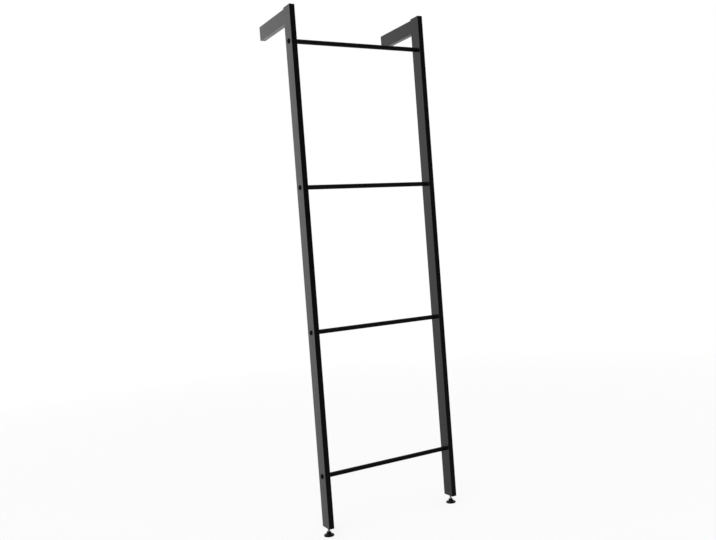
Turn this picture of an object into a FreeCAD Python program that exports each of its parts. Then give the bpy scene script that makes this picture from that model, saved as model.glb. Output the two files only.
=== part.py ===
import FreeCAD, Part
import math
import os
import Sketcher

# Towel ladder of steel tube that stands on two levelling feet and is held to the wall by two arms.
# Millimetres, +Z up, +Y towards the wall. The origin is on the floor, midway across the ladder
# and midway between the fronts of the uprights and the wall.

SIZES = (
    # Frame
    ("clear_width", 500.0),
    ("tube_wide", 20.0),
    ("tube_deep", 50.0),
    ("tube_wall", 1.5),
    ("tube_corner", 0.8),
    ("bore_corner", 0.4),
    ("upright_length", 1796.0),
    ("arm_high", 50.0),
    ("arm_reach", 217.0),
    ("arm_drop", 5.0),
    ("foot_gap", 29.0),
    # Rungs
    ("rung_outer", 16.0),
    ("rung_wall", 1.5),
    ("rung_count", 4),
    ("lowest_rung_height", 180.0),
    ("top_rung_drop", 120.0),
    # Rung screws, with the sleeves and threaded inserts that they pull on
    ("screw_outer", 8.0),
    ("screw_length", 40.0),
    ("screw_tip_chamfer", 0.8),
    ("screw_hole", 8.5),
    ("flange_outer", 17.8),
    ("flange_thick", 1.4),
    ("head_outer", 14.0),
    ("head_high", 4.4),
    ("head_chamfer", 2.7),
    ("key_flats", 5.0),
    ("key_depth", 2.6),
    ("sleeve_outer", 12.0),
    ("insert_length", 25.0),
    ("insert_clearance", 0.1),
    ("insert_chamfer", 0.8),
    ("thread_clearance", 0.05),
    # Plugs in the ends of the uprights
    ("plug_head", 2.0),
    ("plug_edge", 0.6),
    ("plug_depth", 22.0),
    ("plug_clearance", 0.1),
    ("plug_inset", 0.75),
    ("plug_wall", 1.8),
    ("fin_thick", 0.9),
    ("fin_spacing", 4.5),
    ("fin_count", 4),
    ("fin_start", 3.0),
    ("nut_block", 19.0),
    # Levelling feet
    ("spindle_outer", 8.0),
    ("spindle_bore_clearance", 0.4),
    ("spindle_above_ball", 54.5),
    ("spindle_tip_chamfer", 1.0),
    ("neck_outer", 6.5),
    ("neck_above_ball", 7.5),
    ("ball_outer", 11.0),
    ("ball_height", 7.5),
    ("spanner_flats", 6.5),
    ("flats_above_ball", 8.0),
    ("flats_high", 4.0),
    ("nut_flats", 13.0),
    ("nut_high", 6.5),
    ("nut_recess", 0.5),
    ("nut_clearance", 0.1),
    ("pad_outer", 36.0),
    ("pad_rim", 4.0),
    ("pad_rim_chamfer", 1.2),
    ("pad_edge", 0.6),
    ("hub_foot", 20.0),
    ("hub_foot_height", 4.8),
    ("hub_top", 15.0),
    ("hub_top_chamfer", 1.2),
    ("hub_high", 14.5),
    ("ball_clearance", 0.15),
    ("hub_mouth", 9.8),
    # Wall brackets
    ("bracket_clearance", 0.1),
    ("bracket_thick", 4.0),
    ("bracket_leg", 26.0),
    ("bracket_bend", 2.0),
    ("bracket_slack", 0.6),
    ("wall_hole", 5.5),
    ("wall_hole_spacing", 24.0),
    ("clamp_inset", 16.0),
    ("clamp_outer", 5.0),
    ("clamp_length", 8.0),
    ("clamp_hole", 5.5),
    ("clamp_head_outer", 9.5),
    ("clamp_head_high", 2.75),
    ("clamp_head_chamfer", 1.8),
    ("clamp_key_flats", 3.0),
    ("clamp_key_depth", 1.6),
    ("clamp_tip_chamfer", 0.5),
    # How far a cut runs past the face that it opens
    ("cut_overrun", 1.0),
)

# Places and sizes that follow from the sheet
UPRIGHT_X = "(Sizes.clear_width + Sizes.tube_wide) / 2"
UPRIGHT_Y = "-Sizes.arm_reach / 2"
UPRIGHT_Z = "(Sizes.foot_gap + Sizes.plug_head)"
UPRIGHT_TOP = f"({UPRIGHT_Z} + Sizes.upright_length)"
OUTER_FACE_X = "(Sizes.clear_width / 2 + Sizes.tube_wide)"
INNER_FACE_X = "(Sizes.clear_width / 2)"
BACK_FACE_Y = "(Sizes.tube_deep - Sizes.arm_reach) / 2"
WALL_Y = "(Sizes.tube_deep + Sizes.arm_reach) / 2"
ARM_Z = f"({UPRIGHT_TOP} + Sizes.plug_head - Sizes.arm_drop - Sizes.arm_high / 2)"
LOWEST_RUNG_Z = "(Sizes.foot_gap + Sizes.lowest_rung_height)"
FRAME_HEIGHT = "(Sizes.upright_length + 2 * Sizes.plug_head)"
RUNG_SPAN = f"({FRAME_HEIGHT} - Sizes.lowest_rung_height - Sizes.top_rung_drop)"
RUNG_PITCH = f"({RUNG_SPAN} / (Sizes.rung_count - 1))"
BORE_WIDE = "(Sizes.tube_wide - 2 * Sizes.tube_wall)"
BORE_DEEP = "(Sizes.tube_deep - 2 * Sizes.tube_wall)"
BORE_HIGH = "(Sizes.arm_high - 2 * Sizes.tube_wall)"
BRACKET_WIDE = f"({BORE_WIDE} - 2 * Sizes.bore_corner - 2 * Sizes.bracket_clearance)"
THREAD_HOLE = "({} + 2 * Sizes.thread_clearance)"

SIDES = (("left", -1), ("right", 1))
X_AXIS = FreeCAD.Vector(1, 0, 0)
Y_AXIS = FreeCAD.Vector(0, 1, 0)
Z_AXIS = FreeCAD.Vector(0, 0, 1)
# An edge lies on a stated line or circle if it is within this many millimetres of it.
MATCH = 1e-4
# A cut has missed if it takes less than this share of the solid away.
LEAST_CUT_SHARE = 1e-9

doc = FreeCAD.newDocument("TowelLadder")
sheet = doc.addObject("Spreadsheet::Sheet", "Sizes")
for row, (alias, number) in enumerate(SIZES, start=1):
    sheet.set(f"A{row}", alias)
    sheet.set(f"B{row}", str(number))
    sheet.setAlias(f"B{row}", alias)
doc.recompute()

sub_parts = []


def size(expression):
    """The number that an expression on the sheet has now."""
    return float(sheet.evalExpression(expression))


# Bodies and sketches


def new_body(label):
    """An empty body whose label names its file."""
    body = doc.addObject("PartDesign::Body", label)
    body.Label = label
    sub_parts.append(body)
    return body


def place(body, x="0", y="0", z="0", rotation=None):
    """Put a finished body where expressions on the sheet say."""
    if rotation is not None:
        body.Placement = FreeCAD.Placement(FreeCAD.Vector(), rotation)
    for axis, expression in (("x", x), ("y", y), ("z", z)):
        body.setExpression(f"Placement.Base.{axis}", expression)


def sided(sign, expression):
    """The same distance to the left or the right of the middle."""
    return f"{sign} * {expression}"


def origin_item(body, role):
    """One of the body's own planes or axes."""
    return next(item for item in body.Origin.OriginFeatures if item.Role == role)


def new_sketch(body, name, plane, height="0"):
    """A sketch on one of the body's planes, or parallel to it at a height."""
    sketch = body.newObject("Sketcher::SketchObject", f"{body.Label}_{name}")
    sketch.AttachmentSupport = [(origin_item(body, plane), "")]
    sketch.MapMode = "FlatFace"
    sketch.setExpression("AttachmentOffset.Base.z", height)
    return sketch


def fix(sketch, geometry, vertex, across, up):
    """Dimension one point of a sketch from the sketch's origin, each way by an expression."""
    for kind, expression, axis in (("DistanceX", across, -2), ("DistanceY", up, -1)):
        distance = size(expression)
        if expression == "0":
            sketch.addConstraint(Sketcher.Constraint("PointOnObject", geometry, vertex, axis))
        elif distance > 0:
            index = sketch.addConstraint(Sketcher.Constraint(kind, -1, 1, geometry, vertex, distance))
            sketch.setExpression(f"Constraints[{index}]", expression)
        else:
            index = sketch.addConstraint(Sketcher.Constraint(kind, geometry, vertex, -1, 1, -distance))
            sketch.setExpression(f"Constraints[{index}]", f"-({expression})")


def circle(sketch, diameter, across="0", up="0"):
    """A circle of a stated diameter about a stated point."""
    centre = FreeCAD.Vector(size(across), size(up), 0)
    index = sketch.addGeometry(Part.Circle(centre, Z_AXIS, size(diameter) / 2), False)
    fix(sketch, index, 3, across, up)
    ring = sketch.addConstraint(Sketcher.Constraint("Diameter", index, size(diameter)))
    sketch.setExpression(f"Constraints[{ring}]", diameter)


def outline(sketch, corners):
    """A closed outline of straight lines through corners that are given as expressions."""
    points = [FreeCAD.Vector(size(across), size(up), 0) for across, up in corners]
    lines = []
    for start, end in zip(points, points[1:] + points[:1]):
        lines.append(sketch.addGeometry(Part.LineSegment(start, end), False))
    for line, follower in zip(lines, lines[1:] + lines[:1]):
        sketch.addConstraint(Sketcher.Constraint("Coincident", line, 2, follower, 1))
    for line, (across, up) in zip(lines, corners):
        fix(sketch, line, 1, across, up)


def rectangle(sketch, low_across, high_across, low_up, high_up):
    """A plain rectangle between four stated sides."""
    outline(sketch, ((low_across, low_up), (high_across, low_up),
                     (high_across, high_up), (low_across, high_up)))


def hexagon(sketch, flats):
    """A hexagon about the origin with a corner on the upright axis."""
    half = f"({flats}) / 2"
    corner = f"({flats}) / sqrt(3)"
    shoulder = f"({flats}) / (2 * sqrt(3))"
    outline(sketch, (("0", corner), (f"-{half}", shoulder), (f"-{half}", f"-{shoulder}"),
                     ("0", f"-{corner}"), (half, f"-{shoulder}"), (half, shoulder)))


def rounded_rectangle(sketch, wide, deep, corner):
    """A rectangle about the origin with rounded corners, as a tube's wall has."""
    half_wide = size(wide) / 2
    half_deep = size(deep) / 2
    radius = size(corner)
    quarters = ((1, 1, 0), (-1, 1, 90), (-1, -1, 180), (1, -1, 270))
    arcs = []
    for right, up, start in quarters:
        centre = FreeCAD.Vector(right * (half_wide - radius), up * (half_deep - radius), 0)
        ring = Part.Circle(centre, Z_AXIS, radius)
        first = math.radians(start)
        last = math.radians(start + 90)
        arcs.append(sketch.addGeometry(Part.ArcOfCircle(ring, first, last), False))
    lines = []
    for arc, follower in zip(arcs, arcs[1:] + arcs[:1]):
        start = sketch.getPoint(arc, 2)
        end = sketch.getPoint(follower, 1)
        lines.append(sketch.addGeometry(Part.LineSegment(start, end), False))
    for arc, line, follower in zip(arcs, lines, arcs[1:] + arcs[:1]):
        sketch.addConstraint(Sketcher.Constraint("Tangent", arc, 2, line, 1))
        sketch.addConstraint(Sketcher.Constraint("Tangent", line, 2, follower, 1))
    for arc, (right, up, start) in zip(arcs, quarters):
        across = f"{right} * (({wide}) / 2 - ({corner}))"
        along = f"{up} * (({deep}) / 2 - ({corner}))"
        fix(sketch, arc, 3, across, along)
    ring = sketch.addConstraint(Sketcher.Constraint("Radius", arcs[0], radius))
    sketch.setExpression(f"Constraints[{ring}]", corner)
    for arc in arcs[1:]:
        sketch.addConstraint(Sketcher.Constraint("Equal", arcs[0], arc))


# Features


def pad(body, name, sketch, length, symmetric=False, reversed_way=False):
    """Material of a stated length on a sketch."""
    feature = body.newObject("PartDesign::Pad", f"{body.Label}_{name}")
    feature.Profile = sketch
    feature.SideType = "Symmetric" if symmetric else "One side"
    feature.Reversed = reversed_way
    feature.setExpression("Length", length)
    doc.recompute()
    return feature


def pocket(body, name, sketch, length=None, symmetric=False, reversed_way=False):
    """A cut of a stated length, or right through, which has to take material away."""
    before = body.Shape.Volume
    feature = body.newObject("PartDesign::Pocket", f"{body.Label}_{name}")
    feature.Profile = sketch
    feature.SideType = "Symmetric" if symmetric else "One side"
    feature.Reversed = reversed_way
    if length is None:
        feature.Type = "ThroughAll"
    else:
        feature.setExpression("Length", length)
    doc.recompute()
    require_cut(feature, before)
    return feature


def turn(body, name, kind, sketch):
    """A full turn of a profile about the body's upright axis."""
    feature = body.newObject(f"PartDesign::{kind}", f"{body.Label}_{name}")
    feature.Profile = sketch
    feature.ReferenceAxis = (sketch, ["V_Axis"])
    feature.Angle = 360
    doc.recompute()
    return feature


def require_cut(feature, before):
    """Stop where a cut has missed the solid."""
    if feature.Shape.Volume > before * (1 - LEAST_CUT_SHARE):
        raise RuntimeError(f"{feature.Label} takes nothing away")


def dress(body, name, kind, feature, edges, expression):
    """Round or chamfer the named edges of a feature."""
    if not edges:
        raise RuntimeError(f"{body.Label}_{name} finds no edge")
    dressed = body.newObject(f"PartDesign::{kind}", f"{body.Label}_{name}")
    dressed.Base = (feature, edges)
    dressed.setExpression("Radius" if kind == "Fillet" else "Size", expression)
    doc.recompute()
    return dressed


def repeat(body, name, feature, axis, spacing, count, reversed_way=False):
    """A row of copies of one feature, or of the whole body where none is named."""
    pattern = body.newObject("PartDesign::LinearPattern", f"{body.Label}_{name}")
    if feature is None:
        pattern.TransformMode = "Whole shape"
    else:
        pattern.Originals = [feature]
    pattern.Direction = (origin_item(body, axis), [""])
    pattern.Reversed = reversed_way
    pattern.Mode = "Spacing"
    pattern.setExpression("Offset", spacing)
    pattern.setExpression("Occurrences", count)
    body.Tip = pattern
    doc.recompute()
    return pattern


def rings(feature, diameter, height):
    """Names of the circular edges of a stated diameter at a stated height on the upright axis."""
    names = []
    for index, edge in enumerate(feature.Shape.Edges, start=1):
        curve = edge.Curve
        if not isinstance(curve, Part.Circle):
            continue
        if abs(curve.Radius - size(diameter) / 2) < MATCH and abs(curve.Center.z - size(height)) < MATCH:
            names.append(f"Edge{index}")
    return names


def level_edges(feature, height):
    """Names of the edges that lie at a stated height."""
    names = []
    for index, edge in enumerate(feature.Shape.Edges, start=1):
        box = edge.BoundBox
        if max(abs(box.ZMin - size(height)), abs(box.ZMax - size(height))) < MATCH:
            names.append(f"Edge{index}")
    return names


def bend_edges(feature, corners):
    """Names of the edges along X through the stated places in the YZ plane."""
    names = []
    for index, edge in enumerate(feature.Shape.Edges, start=1):
        middle = edge.CenterOfMass
        if edge.BoundBox.YLength > MATCH or edge.BoundBox.ZLength > MATCH:
            continue
        for y, z in corners:
            if abs(middle.y - size(y)) < MATCH and abs(middle.z - size(z)) < MATCH:
                names.append(f"Edge{index}")
    return names


# Directions. Pieces on the line of a rung have +Z out of the ladder's side and +Y up the ladder.
# Arms and brackets have +Z towards the wall and +Y down.

SIDE_ROTATIONS = {
    -1: FreeCAD.Rotation(-Y_AXIS, Z_AXIS, -X_AXIS, "ZXY"),
    1: FreeCAD.Rotation(Y_AXIS, Z_AXIS, X_AXIS, "ZXY"),
}
WALL_ROTATION = FreeCAD.Rotation(X_AXIS, -Z_AXIS, Y_AXIS, "ZXY")
UPSIDE_DOWN = FreeCAD.Rotation(X_AXIS, 180)


# Frame


def upright(side, sign):
    """Rectangular tube with a hole through both walls at each rung."""
    body = new_body(f"{side}_upright")
    section = new_sketch(body, "section", "XY_Plane")
    rounded_rectangle(section, "Sizes.tube_wide", "Sizes.tube_deep", "Sizes.tube_corner")
    rounded_rectangle(section, BORE_WIDE, BORE_DEEP, "Sizes.bore_corner")
    pad(body, "tube", section, "Sizes.upright_length")
    mark = new_sketch(body, "hole_mark", "YZ_Plane")
    circle(mark, "Sizes.screw_hole", up="Sizes.lowest_rung_height - Sizes.plug_head")
    hole = pocket(body, "hole", mark, "Sizes.tube_wide + Sizes.cut_overrun", symmetric=True)
    repeat(body, "holes", hole, "Z_Axis", RUNG_PITCH, "Sizes.rung_count")
    place(body, sided(sign, UPRIGHT_X), UPRIGHT_Y, UPRIGHT_Z)


def arm(side, sign):
    """Tube from the back of the upright to the wall, with a hole on top for the bracket's screw."""
    body = new_body(f"{side}_arm")
    section = new_sketch(body, "section", "XY_Plane")
    rounded_rectangle(section, "Sizes.tube_wide", "Sizes.arm_high", "Sizes.tube_corner")
    rounded_rectangle(section, BORE_WIDE, BORE_HIGH, "Sizes.bore_corner")
    pad(body, "tube", section, "Sizes.arm_reach")
    mark = new_sketch(body, "hole_mark", "XZ_Plane")
    circle(mark, "Sizes.clamp_hole", up="Sizes.arm_reach - Sizes.clamp_inset")
    pocket(body, "hole", mark, reversed_way=True)
    place(body, sided(sign, UPRIGHT_X), BACK_FACE_Y, ARM_Z, WALL_ROTATION)


def rung(number):
    """Round tube between the uprights, the lowest being number 1."""
    body = new_body(f"rung_{number}")
    section = new_sketch(body, "section", "YZ_Plane")
    circle(section, "Sizes.rung_outer")
    circle(section, "Sizes.rung_outer - 2 * Sizes.rung_wall")
    pad(body, "tube", section, "Sizes.clear_width", symmetric=True)
    place(body, y=UPRIGHT_Y, z=f"{LOWEST_RUNG_Z} + {number - 1} * {RUNG_PITCH}")


# Rung joints


def button_screw(body, names, tip, edge):
    """Low-head screw along Z: head above zero, shank below, hexagon socket in the head."""
    outer, length, head_outer, head_high, head_chamfer, flats, depth = (f"Sizes.{name}" for name in names)
    profile = new_sketch(body, "profile", "XZ_Plane")
    outline(profile, (("0", f"-{length}"), (f"{outer} / 2 - {tip}", f"-{length}"),
                      (f"{outer} / 2", f"{tip} - {length}"), (f"{outer} / 2", "0"), *edge,
                      (f"{head_outer} / 2", head_high), ("0", head_high)))
    blank = turn(body, "blank", "Revolution", profile)
    dress(body, "head", "Chamfer", blank, rings(blank, head_outer, head_high), head_chamfer)
    key = new_sketch(body, "key", "XY_Plane", head_high)
    hexagon(key, flats)
    pocket(body, "socket", key, depth)


def rung_screws(side, sign):
    """One flanged screw at the end of each rung, its head on the outer face of the upright."""
    body = new_body(f"{side}_rung_screws")
    names = ("screw_outer", "screw_length", "head_outer", "head_high",
             "head_chamfer", "key_flats", "key_depth")
    flange = (("Sizes.flange_outer / 2", "0"), ("Sizes.flange_outer / 2", "Sizes.flange_thick"),
              ("Sizes.head_outer / 2", "Sizes.flange_thick"))
    button_screw(body, names, "Sizes.screw_tip_chamfer", flange)
    repeat(body, "row", None, "Y_Axis", RUNG_PITCH, "Sizes.rung_count")
    place(body, sided(sign, OUTER_FACE_X), UPRIGHT_Y, LOWEST_RUNG_Z, SIDE_ROTATIONS[sign])


def spacer_sleeves(side, sign):
    """Sleeves that hold the two walls of the upright apart where a screw pulls on them."""
    body = new_body(f"{side}_spacer_sleeves")
    section = new_sketch(body, "section", "XY_Plane")
    circle(section, "Sizes.sleeve_outer")
    circle(section, "Sizes.screw_hole")
    pad(body, "sleeve", section, BORE_WIDE, symmetric=True)
    repeat(body, "row", None, "Y_Axis", RUNG_PITCH, "Sizes.rung_count")
    place(body, sided(sign, UPRIGHT_X), UPRIGHT_Y, LOWEST_RUNG_Z, SIDE_ROTATIONS[sign])


def rung_inserts(side, sign):
    """Threaded bars fixed in the ends of the rungs, flush with them."""
    body = new_body(f"{side}_rung_inserts")
    outer = "(Sizes.rung_outer - 2 * Sizes.rung_wall - 2 * Sizes.insert_clearance)"
    section = new_sketch(body, "section", "XY_Plane")
    circle(section, outer)
    circle(section, THREAD_HOLE.format("Sizes.screw_outer"))
    bar = pad(body, "bar", section, "Sizes.insert_length", reversed_way=True)
    inner_rim = rings(bar, outer, "-Sizes.insert_length")
    dress(body, "lead", "Chamfer", bar, inner_rim, "Sizes.insert_chamfer")
    repeat(body, "row", None, "Y_Axis", RUNG_PITCH, "Sizes.rung_count")
    place(body, sided(sign, INNER_FACE_X), UPRIGHT_Y, LOWEST_RUNG_Z, SIDE_ROTATIONS[sign])


# Plugs


def ribbed_plug(body):
    """Head as wide as the tube above zero, and a core with thin fins below it inside the tube."""
    head = new_sketch(body, "head_outline", "XY_Plane")
    rounded_rectangle(head, "Sizes.tube_wide", "Sizes.tube_deep", "Sizes.tube_corner")
    cap = pad(body, "head", head, "Sizes.plug_head")
    dress(body, "edge", "Chamfer", cap, level_edges(cap, "Sizes.plug_head"), "Sizes.plug_edge")
    fin_wide = f"({BORE_WIDE} - 2 * Sizes.plug_clearance)"
    fin_deep = f"({BORE_DEEP} - 2 * Sizes.plug_clearance)"
    core = new_sketch(body, "core_outline", "XY_Plane")
    rectangle(core, *plug_core(fin_wide), *plug_core(fin_deep))
    pad(body, "core", core, "Sizes.plug_depth", reversed_way=True)
    fin = new_sketch(body, "fin_outline", "XY_Plane", "-Sizes.fin_start")
    rounded_rectangle(fin, fin_wide, fin_deep, "Sizes.bore_corner - Sizes.plug_clearance")
    blade = pad(body, "fin", fin, "Sizes.fin_thick", reversed_way=True)
    repeat(body, "fins", blade, "Z_Axis", "Sizes.fin_spacing", "Sizes.fin_count", reversed_way=True)


def plug_core(fin):
    """The two sides of the plug's core, inside the outline of its fins."""
    return f"Sizes.plug_inset - {fin} / 2", f"{fin} / 2 - Sizes.plug_inset"


def plug_hollow(fin):
    """The two sides of the hollow inside that core."""
    inset = "(Sizes.plug_inset + Sizes.plug_wall + Sizes.plug_clearance)"
    return f"{inset} - {fin} / 2", f"{fin} / 2 - {inset}"


def top_plug(side, sign):
    """Plug that closes the top of the upright, hollow from below."""
    body = new_body(f"{side}_top_plug")
    ribbed_plug(body)
    hollow = new_sketch(body, "hollow_outline", "XY_Plane", "-Sizes.plug_depth")
    rectangle(hollow, *plug_hollow(BORE_WIDE), *plug_hollow(BORE_DEEP))
    pocket(body, "hollow", hollow, "Sizes.plug_depth", reversed_way=True)
    place(body, sided(sign, UPRIGHT_X), UPRIGHT_Y, UPRIGHT_TOP)


def foot_socket(side, sign):
    """Plug in the lower end, hollow either side of the block that holds the nut."""
    body = new_body(f"{side}_foot_socket")
    ribbed_plug(body)
    hollow = new_sketch(body, "hollow_outline", "XY_Plane", "-Sizes.plug_depth")
    low, high = plug_hollow(BORE_DEEP)
    rectangle(hollow, *plug_hollow(BORE_WIDE), low, "-Sizes.nut_block / 2")
    rectangle(hollow, *plug_hollow(BORE_WIDE), "Sizes.nut_block / 2", high)
    pocket(body, "hollow", hollow, "Sizes.plug_depth", reversed_way=True)
    seat = new_sketch(body, "nut_outline", "XY_Plane", "Sizes.plug_head")
    hexagon(seat, "Sizes.nut_flats + 2 * Sizes.nut_clearance")
    pocket(body, "nut_seat", seat, "Sizes.nut_recess + Sizes.nut_high")
    bore = new_sketch(body, "bore_outline", "XY_Plane", "Sizes.plug_head")
    circle(bore, "Sizes.spindle_outer + 2 * Sizes.spindle_bore_clearance")
    pocket(body, "bore", bore)
    place(body, sided(sign, UPRIGHT_X), UPRIGHT_Y, UPRIGHT_Z, UPSIDE_DOWN)


# Levelling feet


def foot_nut(side, sign):
    """Hexagon nut with its corners turned off at both faces."""
    body = new_body(f"{side}_foot_nut")
    section = new_sketch(body, "section", "XY_Plane")
    hexagon(section, "Sizes.nut_flats")
    circle(section, THREAD_HOLE.format("Sizes.spindle_outer"))
    blank = pad(body, "blank", section, "Sizes.nut_high")
    before = blank.Shape.Volume
    rim = "Sizes.nut_flats / 2"
    past = "Sizes.nut_flats / sqrt(3) + Sizes.cut_overrun"
    drop = f"({past} - {rim}) / sqrt(3)"
    corners = new_sketch(body, "corner_cuts", "XZ_Plane")
    outline(corners, ((rim, "0"), (past, "0"), (past, drop)))
    outline(corners, ((rim, "Sizes.nut_high"), (past, f"Sizes.nut_high - {drop}"), (past, "Sizes.nut_high")))
    require_cut(turn(body, "corners", "Groove", corners), before)
    place(body, sided(sign, UPRIGHT_X), UPRIGHT_Y, "Sizes.foot_gap + Sizes.nut_recess")


def foot_spindle(side, sign):
    """Bright spindle that stands on a ball, with two flats for a spanner above the pad's hub."""
    body = new_body(f"{side}_foot_spindle")
    neck = "Sizes.neck_outer / 2"
    shank = "Sizes.spindle_outer / 2"
    top = "Sizes.spindle_above_ball"
    profile = new_sketch(body, "profile", "XZ_Plane")
    outline(profile, (("0", "0"), (neck, "0"), (neck, "Sizes.neck_above_ball"),
                      (shank, f"Sizes.neck_above_ball + ({shank} - {neck})"),
                      (shank, f"{top} - Sizes.spindle_tip_chamfer"),
                      (f"{shank} - Sizes.spindle_tip_chamfer", top), ("0", top)))
    turn(body, "shank", "Revolution", profile)
    ball = body.newObject("PartDesign::AdditiveSphere", f"{body.Label}_ball")
    ball.setExpression("Radius", "Sizes.ball_outer / 2")
    doc.recompute()
    flats = new_sketch(body, "flats_outline", "XY_Plane", "Sizes.flats_above_ball")
    past = f"{shank} + Sizes.cut_overrun"
    rectangle(flats, f"-({past})", past, "Sizes.spanner_flats / 2", past)
    rectangle(flats, f"-({past})", past, f"-({past})", "-Sizes.spanner_flats / 2")
    pocket(body, "flats", flats, "Sizes.flats_high", reversed_way=True)
    place(body, sided(sign, UPRIGHT_X), UPRIGHT_Y, "Sizes.ball_height")


def foot_pad(side, sign):
    """Moulded pad with a raised hub. The ball lies in its seat under a lip that it snaps past."""
    body = new_body(f"{side}_foot_pad")
    rim = "Sizes.pad_outer / 2"
    top = "Sizes.hub_top / 2"
    profile = new_sketch(body, "profile", "XZ_Plane")
    outline(profile, (("0", "0"), (f"{rim} - Sizes.pad_edge", "0"), (rim, "Sizes.pad_edge"),
                      (rim, "Sizes.pad_rim - Sizes.pad_rim_chamfer"),
                      (f"{rim} - Sizes.pad_rim_chamfer", "Sizes.pad_rim"),
                      ("Sizes.hub_foot / 2", "Sizes.hub_foot_height"),
                      (top, "Sizes.hub_high - Sizes.hub_top_chamfer"),
                      (f"{top} - Sizes.hub_top_chamfer", "Sizes.hub_high"), ("0", "Sizes.hub_high")))
    turn(body, "blank", "Revolution", profile)
    before = body.Shape.Volume
    seat = "(Sizes.ball_outer / 2 + Sizes.ball_clearance)"
    flat = f"({seat} * (sqrt(2) - 1))"
    mouth = "Sizes.hub_mouth / 2"
    lip = f"(Sizes.ball_height + sqrt({seat}^2 - ({mouth})^2))"
    past = "Sizes.hub_high + Sizes.cut_overrun"
    hollow = new_sketch(body, "ball_seat_profile", "XZ_Plane")
    outline(hollow, (("0", f"Sizes.ball_height - {seat}"), (flat, f"Sizes.ball_height - {seat}"),
                     (seat, f"Sizes.ball_height - {flat}"), (seat, lip), (mouth, lip),
                     (mouth, past), ("0", past)))
    require_cut(turn(body, "ball_seat", "Groove", hollow), before)
    place(body, sided(sign, UPRIGHT_X), UPRIGHT_Y)


# Wall brackets


def wall_bracket(side, sign):
    """Flat bar bent into a U inside the arm: its back is on the wall and its upper leg carries the arm."""
    body = new_body(f"{side}_wall_bracket")
    top = f"-{BORE_HIGH} / 2"
    bottom = f"({BORE_HIGH} / 2 - Sizes.bracket_slack)"
    inner_top = f"({top} + Sizes.bracket_thick)"
    inner_bottom = f"({bottom} - Sizes.bracket_thick)"
    back = "-Sizes.bracket_thick"
    tip = "-Sizes.bracket_leg"
    strip = new_sketch(body, "strip", "YZ_Plane")
    outline(strip, ((top, tip), (inner_top, tip), (inner_top, back), (inner_bottom, back),
                    (inner_bottom, tip), (bottom, tip), (bottom, "0"), (top, "0")))
    bar = pad(body, "bar", strip, BRACKET_WIDE, symmetric=True)
    inside = bend_edges(bar, ((inner_top, back), (inner_bottom, back)))
    bent = dress(body, "inner_bends", "Fillet", bar, inside, "Sizes.bracket_bend")
    outside = bend_edges(bent, ((top, "0"), (bottom, "0")))
    dress(body, "outer_bends", "Fillet", bent, outside, "Sizes.bracket_bend + Sizes.bracket_thick")
    holes = new_sketch(body, "wall_hole_marks", "XY_Plane")
    for half in ("-Sizes.wall_hole_spacing / 2", "Sizes.wall_hole_spacing / 2"):
        circle(holes, "Sizes.wall_hole", up=half)
    pocket(body, "wall_holes", holes, "Sizes.bracket_thick + Sizes.cut_overrun")
    mark = new_sketch(body, "clamp_hole_mark", "XZ_Plane")
    circle(mark, THREAD_HOLE.format("Sizes.clamp_outer"), up="-Sizes.clamp_inset")
    pocket(body, "clamp_hole", mark, reversed_way=True)
    place(body, sided(sign, UPRIGHT_X), WALL_Y, ARM_Z, WALL_ROTATION)


def bracket_screw(side, sign):
    """Button-head screw through the top wall of the arm into the bracket's upper leg."""
    body = new_body(f"{side}_bracket_screw")
    names = ("clamp_outer", "clamp_length", "clamp_head_outer", "clamp_head_high",
             "clamp_head_chamfer", "clamp_key_flats", "clamp_key_depth")
    under_head = (("Sizes.clamp_head_outer / 2", "0"),)
    button_screw(body, names, "Sizes.clamp_tip_chamfer", under_head)
    place(body, sided(sign, UPRIGHT_X), f"{WALL_Y} - Sizes.clamp_inset", f"{ARM_Z} + Sizes.arm_high / 2")


# The whole ladder

for side, sign in SIDES:
    upright(side, sign)
    arm(side, sign)
    rung_screws(side, sign)
    spacer_sleeves(side, sign)
    rung_inserts(side, sign)
    top_plug(side, sign)
    foot_socket(side, sign)
    foot_nut(side, sign)
    foot_spindle(side, sign)
    foot_pad(side, sign)
    wall_bracket(side, sign)
    bracket_screw(side, sign)
for number in range(1, int(size("Sizes.rung_count")) + 1):
    rung(number)
doc.recompute()

for item in doc.Objects:
    if "Invalid" in item.State or "Error" in item.State:
        raise RuntimeError(f"{item.Label} has failed: {item.State}")
for body in sub_parts:
    if body.Shape.isNull() or not body.Shape.isValid() or not body.Shape.Solids:
        raise RuntimeError(f"{body.Label} has no sound shape")

os.makedirs("parts", exist_ok=True)
for body in sub_parts:
    body.Shape.exportStep(os.path.join("parts", f"{body.Label}.step"))
    box = body.Shape.BoundBox
    print(f"{body.Label}: {len(body.Shape.Solids)} solids, {body.Shape.Volume:.1f} mm3,"
          f" {box.XLength:.2f} x {box.YLength:.2f} x {box.ZLength:.2f} mm")
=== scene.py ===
from math import acos, atan2, ceil, hypot, pi, radians, sin, sqrt

import bmesh
import bpy
from bpy.props import FloatProperty, FloatVectorProperty, IntProperty, PointerProperty
from bpy.types import Operator, Panel, PropertyGroup
from mathutils import Matrix, Vector


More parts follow.
